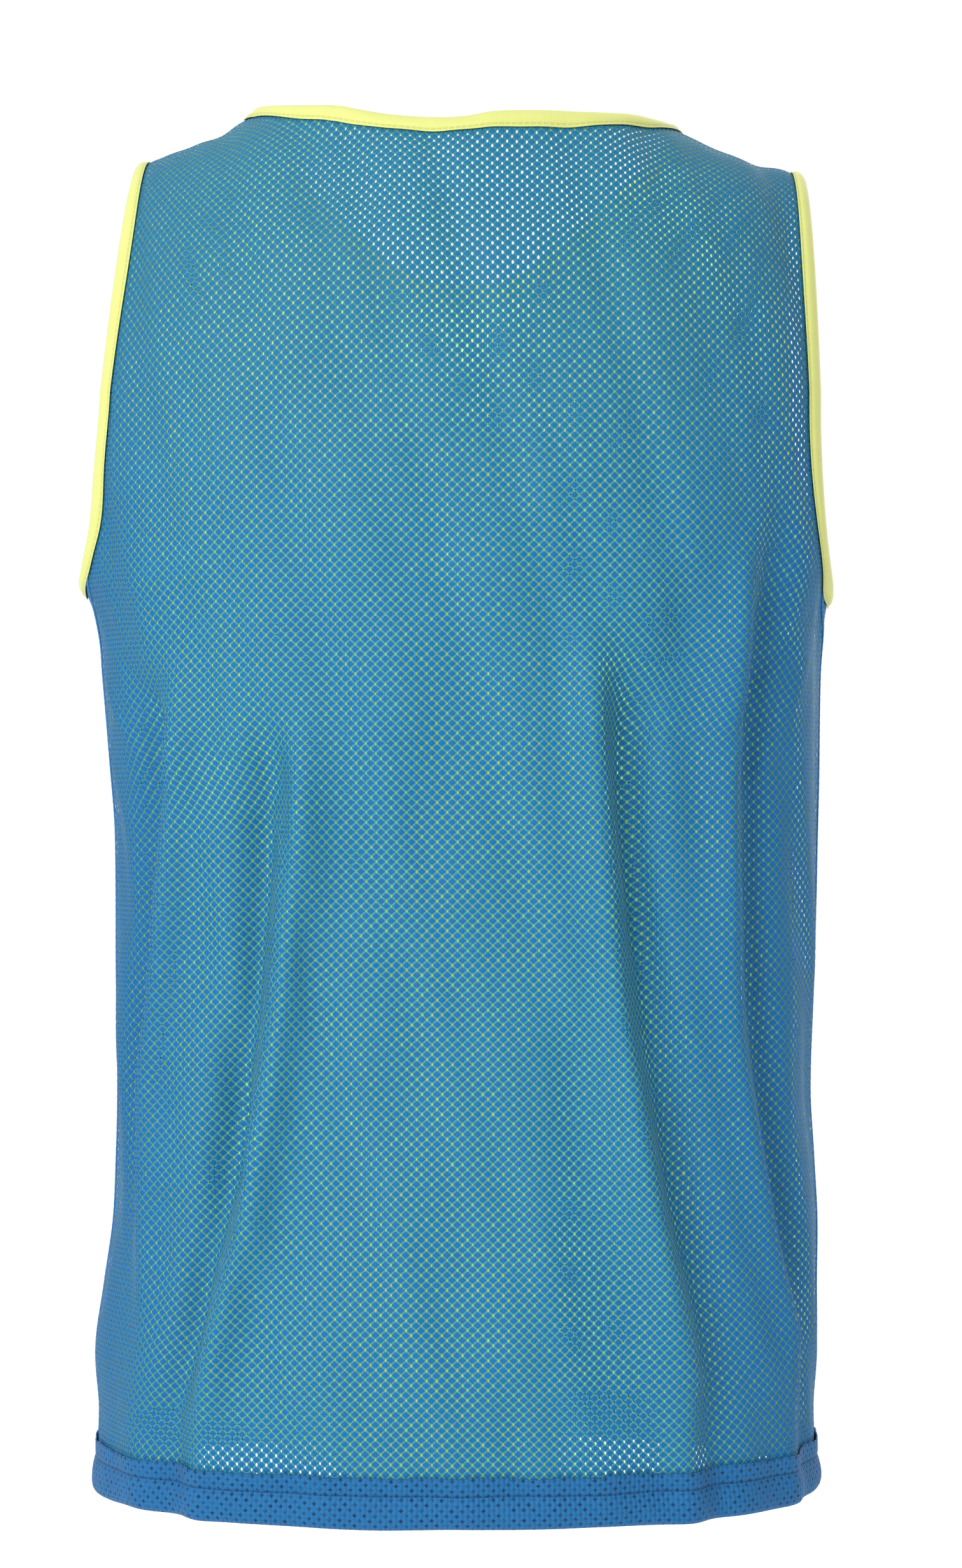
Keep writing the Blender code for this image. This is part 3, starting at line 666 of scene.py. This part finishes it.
def closedTape(name, stations, width, material):
    # stations: side, row, column, p, q and the way inwards, in order round the hole
    line, across = tapeProfile(width)
    direction = np.gradient(line, axis=0)
    direction /= np.linalg.norm(direction, axis=1, keepdims=True)
    out = np.stack([-direction[:, 1], direction[:, 0]], -1) * tape["thick"] / 2
    fromEnd = np.minimum(np.arange(len(line)), np.arange(len(line))[::-1])
    out *= np.minimum(1, tape["thinEnd"] + fromEnd * tape["thicker"])[:, None]
    profile = np.concatenate([line + out, (line - out)[::-1]])
    deep = profile[:, 0]
    widths = np.concatenate([across, across[::-1]])
    rings, edges = [], []
    for which, row, column, p, q, inward in stations:
        cloth = cloths[which]
        edge = atGrid(cloth, np.array([row]), np.array([column]), np.zeros(1))[0]
        normal = between(cloth["normals"], np.array([row]), np.array([column]))[0]
        normal /= np.linalg.norm(normal)
        within = onCloth(cloth, np.array([p + inward[0] * 4]), np.array([q + inward[1] * 4]), np.zeros(1))[0]
        into = within - edge
        into -= normal * into.dot(normal)
        into /= np.linalg.norm(into)
        lift = profile[:, 1] * (1 - joinNotch(name, edge) * 0.3)
        reach = np.maximum(deep, 0)
        on = onCloth(cloth, p + inward[0] * reach, q + inward[1] * reach, lift)
        beside = edge + into * deep[:, None] + normal * lift[:, None]
        blend = smoothstep(deep / 2.0)[:, None]
        rings.append(beside * (1 - blend) + on * blend)
        edges.append(edge)
    steps = np.linalg.norm(np.diff(edges, axis=0), axis=1)
    alongs = np.concatenate([[0], np.cumsum(steps)])
    count, size = len(stations), len(profile)
    uvs = {"tape": np.stack([np.repeat(alongs, size), np.tile(widths, count)], -1)}
    obj = makeObject(name, np.concatenate(rings), ringFaces(count, size, True), material, uvs)
    laneMap(obj, size, tape["lanes"])
    flip(obj)
    print(name, "tape", round(alongs[-1]), "mm round,", round(float(across.max() * 2), 1), "mm wide")
    return obj


def joinNotch(name, point):  # where the neck tape's two ends are sewn together
    if name != "neckBinding" or point[1] > 0:
        return 0.0
    return float(np.exp(-((point[0] - tape["joinX"]) / 1.1) ** 2))


def flip(obj):  # faces turned outwards if the piece came out inside out
    mesh = obj.data
    points = np.empty(len(mesh.vertices) * 3)
    mesh.vertices.foreach_get("co", points)
    points = points.reshape(-1, 3)
    mesh.calc_loop_triangles()
    corners = np.empty(len(mesh.loop_triangles) * 3, int)
    mesh.loop_triangles.foreach_get("vertices", corners)
    a, b, c = (points[corners.reshape(-1, 3)[:, n]] for n in range(3))
    if float((a * np.cross(b, c)).sum()) < 0:
        mesh.flip_normals()


def edgeStations(side, rows, columns):  # evenly spaced places along an edge of a panel's grid
    cloth = cloths[side]
    rows, columns = np.asarray(rows, float), np.asarray(columns, float)
    points = between(cloth["points"], rows, columns)
    length = np.concatenate([[0], np.cumsum(np.linalg.norm(np.diff(points, axis=0), axis=1))])
    at = np.linspace(0, length[-1], max(3, int(length[-1] / tape["station"])) + 1)
    return np.interp(at, length, rows), np.interp(at, length, columns)


def boundEdge(side, rows, columns, towards):
    cloth = cloths[side]
    rows, columns = edgeStations(side, rows, columns)
    p, q = between(cloth["p"], rows, columns), between(cloth["q"], rows, columns)
    along = np.stack([np.gradient(p), np.gradient(q)], -1)
    along /= np.linalg.norm(along, axis=1, keepdims=True)
    inward = np.stack([-along[:, 1], along[:, 0]], -1) * towards
    return [(side, rows[k], columns[k], p[k], q[k], inward[k]) for k in range(len(rows))]


def neckEdge(side):
    cloth = cloths[side]
    x = cloth["points"][-1, :, 0]
    fits = np.nonzero((x > -body["neckHalf"][0] + 0.2) & (x < body["neckHalf"][1] - 0.2))[0]
    columns = np.arange(fits[0] - 1, fits[-1] + 2)
    return np.full(len(columns), len(cloth["points"]) - 1), columns


lemonTape = tapeMaterial()
rows, columns = neckEdge("back")
backNeck = boundEdge("back", rows, columns, -1)
rows, columns = neckEdge("front")
frontNeck = boundEdge("front", rows[::-1], columns[::-1], 1)
neckBinding = closedTape("neckBinding", backNeck + frontNeck[1:-1], tape["neck"], lemonTape)
bindings = {"neck_binding": neckBinding}
for name, node, column, sign in (("armholeBindingLeft", "armhole_binding_left", 0, -1),
                                 ("armholeBindingRight", "armhole_binding_right", lastColumn, 1)):
    cloth = cloths["back"]
    low = int(np.argmin(np.abs(cloth["levels"] - armholeLow(sign > 0))))
    up = np.arange(low, len(cloth["points"]))
    back = boundEdge("back", up, np.full(len(up), column), sign)
    down = np.arange(low, len(cloths["front"]["points"]))[::-1]
    front = boundEdge("front", down, np.full(len(down), column), -sign)
    bindings[node] = closedTape(name, back + front[1:-1], tape["armhole"], lemonTape)
for node, obj in bindings.items():
    dress(obj, node)
print("bindings done")


# Hem bands

hem = {
    # height above the lowest fold and lift off the blue net, from the free outer edge round to the inner one
    "profile": [(25.2, 1.1), (23.6, 0.95), (21, 0.85), (18.8, 0.7), (17.4, 0.35), (16.4, -0.05), (15.4, 0.4),
                (13.4, 1.1), (10.6, 1.6), (7.4, 1.9), (4.6, 1.8), (2.2, 1.3), (0.7, 0.4), (0.0, -1.1),
                (0.7, -2.6), (2.6, -3.5), (6, -3.9), (10, -3.8), (14, -3.2), (16.4, -2.7), (19, -3.1),
                (24.6, -3.3)],
    "innerFrom": 14, "innerShift": 40,  # the profile's inner rows, and how far their eyelets are moved
    "thick": 0.8,
    "ragged": 0.9,      # how uneven the cut edge is
    "name": "blue doubled mesh hem",
    # hole: navy painted shade in the eyelets and along the stitch line
    "pad": "#0C568A", "padLight": "#136196", "hole": "#06284C", "thread": "#1F6E9E",
    "stitch": 2.9, "stitchAt": 16.4, "stitchHalf": (0.2, 0.7), "dash": (0.1, 0.45, 1.0, 0.0),
    "cloud": 0.06, "relief": (0.9, 0.0007),
    "roughness": 0.64, "shine": 0.22, "sheen": 0.04, "sheenRoughness": 0.45, "seeThrough": 0.15,
    "overlap": 0.7,     # the back and front halves meet at the side
    "lanes": 4,
}


def hemMaterial():
    # the blue mesh turned up double and coverstitched: its eyelets are backed by more cloth and are drawn
    # as small navy dots of painted shade between upright ribs; the sunk line of stitches takes that shade too
    material, tree, uv, along, up = startMaterial(hem["name"], "tape")
    u = addNode(tree, "ShaderNodeMath", {0: along, 1: net["pitch"]}, operation="DIVIDE")
    v = addNode(tree, "ShaderNodeMath", {0: up, 1: 2 * net["course"]}, operation="DIVIDE")
    nearest, furthest = holeRows(tree, u, v)
    hole = addNode(tree, "ShaderNodeMapRange", {0: furthest, 1: 0.11, 2: 0.27, 3: 1.0, 4: 0.0}, **softStep)
    # only some eyelets of the two layers fall on each other, so the painted shade in them is patchy
    patches = addNode(tree, "ShaderNodeTexNoise", {"Vector": uv, "Scale": 0.35, "Detail": 1.0})
    patches = addNode(tree, "ShaderNodeMapRange", {0: patches, 1: 0.36, 2: 0.6, 3: 0.3, 4: 1.0})
    hole = addNode(tree, "ShaderNodeMath", {0: hole, 1: patches}, operation="MULTIPLY")
    thread = addNode(tree, "ShaderNodeMapRange", {0: nearest, 1: 0.03, 2: 0.14, 3: 0.35, 4: 0.0},
                     **softStep)
    line, dash = stitchRow(tree, along, up, hem)
    dash = addNode(tree, "ShaderNodeMath", {0: dash, 1: 0.45, 2: 0.4}, operation="MULTIPLY_ADD")
    stitches = addNode(tree, "ShaderNodeMath", {0: line, 1: dash}, operation="MULTIPLY")
    colour = cloudedGround(tree, uv, hem, "pad", "padLight")
    # the navy of the eyelets and the stitch line is painted shade
    for mask, name in ((thread, "thread"), (hole, "hole"), (stitches, "hole")):
        colour = addNode(tree, "ShaderNodeMix", {"Factor": mask, 6: colour, 7: hexToLinear(hem[name])},
                         **ofColours)
    rib = addNode(tree, "ShaderNodeMath", {0: u, 1: 4 * np.pi}, operation="MULTIPLY")  # between holes
    rib = addNode(tree, "ShaderNodeMath", {0: rib}, operation="COSINE")
    height = addNode(tree, "ShaderNodeMath", {0: rib, 1: -0.25}, operation="MULTIPLY")
    for mask, depth in ((hole, -0.8), (stitches, -1.0)):
        height = addNode(tree, "ShaderNodeMath", {0: mask, 1: depth, 2: height}, operation="MULTIPLY_ADD")
    finishCloth(tree, hem, colour, height, colour)
    return material


def makeHem(name, side, material):
    cloth = cloths[side]
    line = np.array(hem["profile"], float)
    direction = np.gradient(line, axis=0)
    direction /= np.linalg.norm(direction, axis=1, keepdims=True)
    out = np.stack([-direction[:, 1], direction[:, 0]], -1) * hem["thick"] / 2
    width = np.linalg.norm(np.diff(line, axis=0), axis=1).sum()
    ups = line[:, 0] - hem["innerShift"] * (np.arange(len(line)) >= hem["innerFrom"])
    profile = np.concatenate([line + out, (line - out)[::-1]])
    heights = np.concatenate([ups, ups[::-1]])
    count, size = lastColumn + 1, len(profile)
    columns = np.arange(float(count))
    p = cloth["p"][0]
    rough = random.normal(0, 1, count)
    fray = 0.5 * np.convolve(rough, np.ones(3) / 3, "same") + 0.6 * np.sin(p / 7.3) * np.sin(p / 19)
    ragged = hem["ragged"] * fray
    wave = 0.5 * np.sin(p / 31) + 0.35 * np.sin(p / 13 + 2)  # the band ripples a little where it is stitched
    rings = []
    for up, lift in profile:
        edgeShare = smoothstep((up - 19) / 5)
        z = body["hemZ"] + up + ragged * edgeShare
        row = np.interp(np.maximum(z, body["cutZ"]), cloth["levels"], np.arange(len(cloth["levels"])))
        ripple = 0.3 * wave * (1 if lift > -1 else -1) * smoothstep(up / 6)
        ring = atGrid(cloth, row, columns, lift + ripple + 0.25 * ragged * edgeShare)
        ring[:, 2] += np.minimum(z - body["cutZ"], 0) + 0.5 * wave * (1 - smoothstep(up / 16))
        ends = ring[[0, -1]] - ring[[1, -2]]
        ring[[0, -1]] += ends / np.linalg.norm(ends, axis=1, keepdims=True) * hem["overlap"]
        rings.append(ring)
    points = np.stack(rings, 1).reshape(-1, 3)
    uvs = {"tape": np.stack([np.repeat(p, size), np.tile(heights, count)], -1)}
    obj = makeObject(name, points, ringFaces(count, size, False), material, uvs)
    laneMap(obj, size, hem["lanes"])
    if side == "front":
        obj.data.flip_normals()
    print(name, "hem", round(float(width), 1), "mm wide,", round(float(np.ptp(p))), "mm long")
    return obj


hemCloth = hemMaterial()
hemBands = {}
for side in ("back", "front"):
    hemBands[side] = makeHem("hemBand" + side.capitalize(), side, hemCloth)
    dress(hemBands[side], "hem_band_" + side)
print("hem done")


# Seams

seams = {
    "half": 1.4, "high": 0.5, "station": 1.6,
    "joinLeft": (44.0, -217.0), "joinRight": (38.0, -230.0),  # y and z where a side seam meets the armhole
    "low": -690, "bendEnd": -292,
    # dark: painted shade in the needle holes
    "name": "blue overlocked seam", "colour": "#10588E", "light": "#2070A4", "dark": "#082C54",
    "stitch": 2.7, "stitchAt": 0.0, "stitchHalf": (0.5, 1.0), "dash": (0.25, 0.6, 1.0, 0.0),
    "cloud": 0.3, "relief": (0.6, 0.0004),
    "roughness": 0.66, "shine": 0.22, "sheen": 0.04, "sheenRoughness": 0.45,
}


def seamMaterial():
    # the nets' cut edges overlocked together with polyester thread: a soft narrow ridge with a
    # needle hole at every stitch, drawn dark as painted shade
    material, tree, uv, along, across = startMaterial(seams["name"], "tape")
    line, dash = stitchRow(tree, along, across, seams)
    needle = addNode(tree, "ShaderNodeMath", {0: dash, 1: line}, operation="MULTIPLY")
    ground = cloudedGround(tree, uv, seams, "colour", "light")
    # the needle holes take the dark colour as painted shade
    colour = addNode(tree, "ShaderNodeMix", {"Factor": needle, 6: ground, 7: hexToLinear(seams["dark"])},
                     **ofColours)
    height = addNode(tree, "ShaderNodeMath", {0: needle, 1: -1.0}, operation="MULTIPLY")
    finishCloth(tree, seams, colour, height)
    return material


def seamRidge(name, path, outward, material):  # a low ridge along a line of points
    path, outward = np.asarray(path), np.asarray(outward)
    length = np.concatenate([[0], np.cumsum(np.linalg.norm(np.diff(path, axis=0), axis=1))])
    at = np.linspace(0, length[-1], int(length[-1] / seams["station"]) + 1)
    path = np.stack([np.interp(at, length, path[:, n]) for n in range(3)], -1)
    outward = np.stack([np.interp(at, length, outward[:, n]) for n in range(3)], -1)
    along = np.gradient(path, axis=0)
    along /= np.linalg.norm(along, axis=1, keepdims=True)
    outward -= along * (outward * along).sum(1, keepdims=True)
    outward /= np.linalg.norm(outward, axis=1, keepdims=True)
    across = np.cross(along, outward)
    turn = np.linspace(-np.pi, np.pi, 13)[:-1]
    uneven = 1 + 0.12 * np.sin(at * 2 * np.pi / seams["stitch"]) + 0.06 * np.sin(at / 9)
    high = outward * (seams["high"] * uneven)[:, None]
    rings = [path + across * (np.sin(a) * seams["half"]) + high * np.cos(a) for a in turn]
    count, size = len(path), len(turn)
    points = np.stack(rings, 1).reshape(-1, 3)
    ends = [list(range(size))[::-1], list(range((count - 1) * size, count * size))]
    faces = ringFaces(count, size, False).tolist() + ends
    mesh = bpy.data.meshes.new(name)
    mesh.from_pydata((points / 1000).tolist(), [], faces)
    mesh.materials.append(material)
    mesh.shade_smooth()
    layer = mesh.uv_layers.new(name="tape")
    corners = np.empty(len(mesh.loops), int)
    mesh.loops.foreach_get("vertex_index", corners)
    beside = np.sin(turn)[corners % size] * seams["half"]
    layer.data.foreach_set("uv", np.stack([at[corners // size], beside], -1).ravel())
    obj = bpy.data.objects.new(name, mesh)
    bpy.context.scene.collection.objects.link(obj)
    flip(obj)
    return obj


def sideSeam(sign, join):
    # under the arm the seam starts at the back of the armhole, then runs down to the hem
    cloth = cloths["back"]
    levels = np.linspace(join[1], seams["low"], 260)
    share = smoothstep((levels - seams["bendEnd"]) / (join[1] - seams["bendEnd"]))
    seam = np.interp(levels, (body["hemZ"], -250), (body["seamBackHem"], body["seamBack"]))
    angle = angleAtY("back", seam + (join[0] - seam) * share, levels)
    edge = edgeAngle("back", levels, sign > 0)
    row = np.interp(levels, cloth["levels"], np.arange(len(cloth["levels"])))
    columns = middleColumn + sign * middleColumn * np.minimum(angle / edge, 1)
    return atGrid(cloth, row, columns, np.full(len(row), 0.05)), between(cloth["normals"], row, columns)


def shoulderSeam(sign):  # along the top of the back panel, from the neck to the tip
    top = cloths["back"]["points"][-1]
    right = sign > 0
    keep = (sign * top[:, 0] > body["neckHalf"][right] + 1) & (sign * top[:, 0] < body["tips"][right] - 1)
    path = top[keep] * (1, 0, 1)
    return path, np.tile((0, 0, 1.0), (len(path), 1))


seamThread = seamMaterial()
ridges = []
for name, sign in (("Left", -1), ("Right", 1)):
    ridges.append(seamRidge("sideSeam" + name, *sideSeam(sign, seams["join" + name]), seamThread))
for name, sign in (("Left", -1), ("Right", 1)):
    ridges.append(seamRidge("shoulderSeam" + name, *shoulderSeam(sign), seamThread))
for obj in ridges:
    dress(obj, "back_panel")
print("seams done")


# Floor, light and camera

floorMesh = bpy.data.meshes.new("floor")
floorCorners = [(x * 60, y * 60, -1.3) for x, y in ((-1, -1), (1, -1), (1, 1), (-1, 1))]
floorMesh.from_pydata(floorCorners, [], [(0, 1, 2, 3)])
floor = bpy.data.objects.new("floor", floorMesh)
bpy.context.scene.collection.objects.link(floor)
paper = bpy.data.materials.new("white studio paper")
paper.use_nodes = True
paper.node_tree.nodes["Principled BSDF"].inputs["Base Color"].default_value = hexToLinear("#FCFCFC")
paper.node_tree.nodes["Principled BSDF"].inputs["Roughness"].default_value = 0.9
floorMesh.materials.append(paper)

studio = {
    "world": 1.04,
    # name, place, size, power in watts
    "lights": [("key", (-1.3, -2.2, 0.6), 1.3, 66.0), ("top", (-0.3, 0.1, 1.7), 1.2, 4.0),
               ("behind", (1.3, 2.0, 0.5), 1.3, 25.0)],
    # soft light inside the hollow, which brightens the yellow net through the holes of the blue one
    "inside": {"heights": (-0.12, -0.3, -0.47, -0.62), "power": 0.36, "radius": 0.05},
    # a metre seen from a metre away is 5270 pixels of a picture that is 2464 pixels high
    "camera": (0.0092, -1.757, -0.348), "lens": 5270 / 2464 * 36,
}
world = bpy.data.worlds.new("studio")
bpy.context.scene.world = world
world.use_nodes = True
world.node_tree.nodes["Background"].inputs["Color"].default_value = (1, 1, 1, 1)
world.node_tree.nodes["Background"].inputs["Strength"].default_value = studio["world"]
for name, place, size, power in studio["lights"]:
    light = bpy.data.lights.new(name, "AREA")
    light.size, light.energy = size, power
    lamp = bpy.data.objects.new(name, light)
    lamp.location = place
    lamp.rotation_euler = (Vector((0, 0, -0.35)) - Vector(place)).to_track_quat("-Z", "Y").to_euler()
    bpy.context.scene.collection.objects.link(lamp)

for z in studio["inside"]["heights"]:
    light = bpy.data.lights.new("inside", "POINT")
    light.shadow_soft_size, light.energy = studio["inside"]["radius"], studio["inside"]["power"]
    lamp = bpy.data.objects.new("inside", light)
    lamp.location = (0, 0.02, z)
    lamp.visible_camera = False
    bpy.context.scene.collection.objects.link(lamp)

camera = bpy.data.objects.new("camera", bpy.data.cameras.new("camera"))
camera.location = studio["camera"]
camera.rotation_euler = (np.pi / 2, 0, 0)
camera.data.sensor_fit = "VERTICAL"
camera.data.sensor_height = 36.0
camera.data.lens = studio["lens"]
bpy.context.scene.collection.objects.link(camera)
bpy.context.scene.camera = camera
bpy.context.scene.view_settings.view_transform = "Standard"
print("light and camera done")
